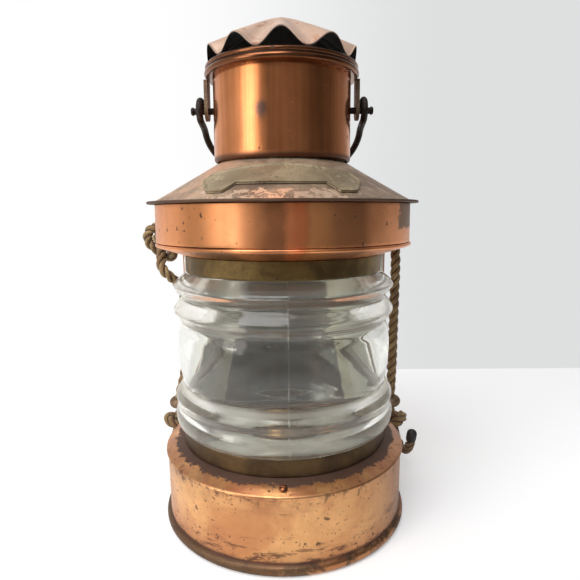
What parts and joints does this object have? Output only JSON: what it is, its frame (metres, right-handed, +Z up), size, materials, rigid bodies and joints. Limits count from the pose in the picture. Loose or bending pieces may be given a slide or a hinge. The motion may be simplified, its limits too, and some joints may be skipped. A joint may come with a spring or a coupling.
{
  "type": "masthead lantern",
  "caption": "Copper oil lantern with a ribbed barrel lens, rear shield, conical canopy, fluted crown, wire bail, turn-out oil font and a knotted carrying rope.",
  "frame": {"origin": "middle of the flat underside on which the lantern stands", "axes": "+Z up along the axis of the lantern, -Y out of the middle of its lit front, +X to its right seen from the front"},
  "size_m": [0.1665, 0.1445, 0.2633],
  "materials": {
    "copper": "worn copper sheet",
    "dark_copper": "tarnished copper sheet",
    "olive_brass": "olive-brown tarnished brass",
    "brass": "plain brass",
    "iron": "near-black iron wire",
    "tinplate": "dull tinned sheet",
    "lens_glass": "clear pressed glass with a faint green tint",
    "cork": "cork packing",
    "cotton": "woven cotton",
    "hemp": "three-strand laid hemp",
    "tape": "dark cloth tape"
  },
  "bodies": {
    "lantern": {"base_shell": "copper", "shoulder_screw": "dark_copper", "bayonet_ring": "brass", "lower_glass_ring": "olive_brass", "lower_gasket": "cork", "glass_lens": "lens_glass", "upper_gasket": "cork", "upper_glass_ring": "olive_brass", "back_shield": "copper", "canopy_floor": "copper", "canopy_drum": "copper", "canopy_roof": "dark_copper", "banner_plate": "olive_brass", "chimney": "copper", "chimney_collar": "copper", "crown_cap": "copper", "ear_left": "dark_copper", "pivot_pin_left": "iron", "rope_guide_lower_left": "dark_copper", "rope_guide_rear_left": "dark_copper", "ear_right": "dark_copper", "pivot_pin_right": "iron", "rope_guide_lower_right": "dark_copper", "rope_guide_rear_right": "dark_copper", "rope": "hemp", "rope_whipping": "tape"},
    "bail": {"bail_handle": "iron"},
    "font": {"oil_font": "tinplate", "burner_body": "brass", "burner_gallery": "brass", "burner_dome": "brass"},
    "spindle": {"wick_spindle": "brass", "wick_knob": "brass"},
    "wick_strip": {"wick": "cotton"}
  },
  "joints": [
    {"name": "bail_swing", "type": "hinge", "parent": "lantern", "child": "bail", "pos_m": [0, 0, 0.21774], "axis": [1, 0, 0], "range_deg": [0, 246]},
    {"name": "font_turn", "type": "hinge", "parent": "lantern", "child": "font", "pos_m": [0, 0, 0], "axis": [0, 0, -1], "range_deg": [0, 30]},
    {"name": "wick_turn", "type": "hinge", "parent": "font", "child": "spindle", "pos_m": [0, 0.0033, 0.0436], "axis": [-1, 0, 0], "range_deg": [-110, 162]},
    {"name": "wick_lift", "type": "slide", "parent": "font", "child": "wick_strip", "axis": [0, 0, 1], "range_m": [-0.004, 0.006]}
  ],
  "couplings": [
    {"joint": "wick_turn", "follows": "wick_lift", "rad_per_m": 454.55}
  ]
}
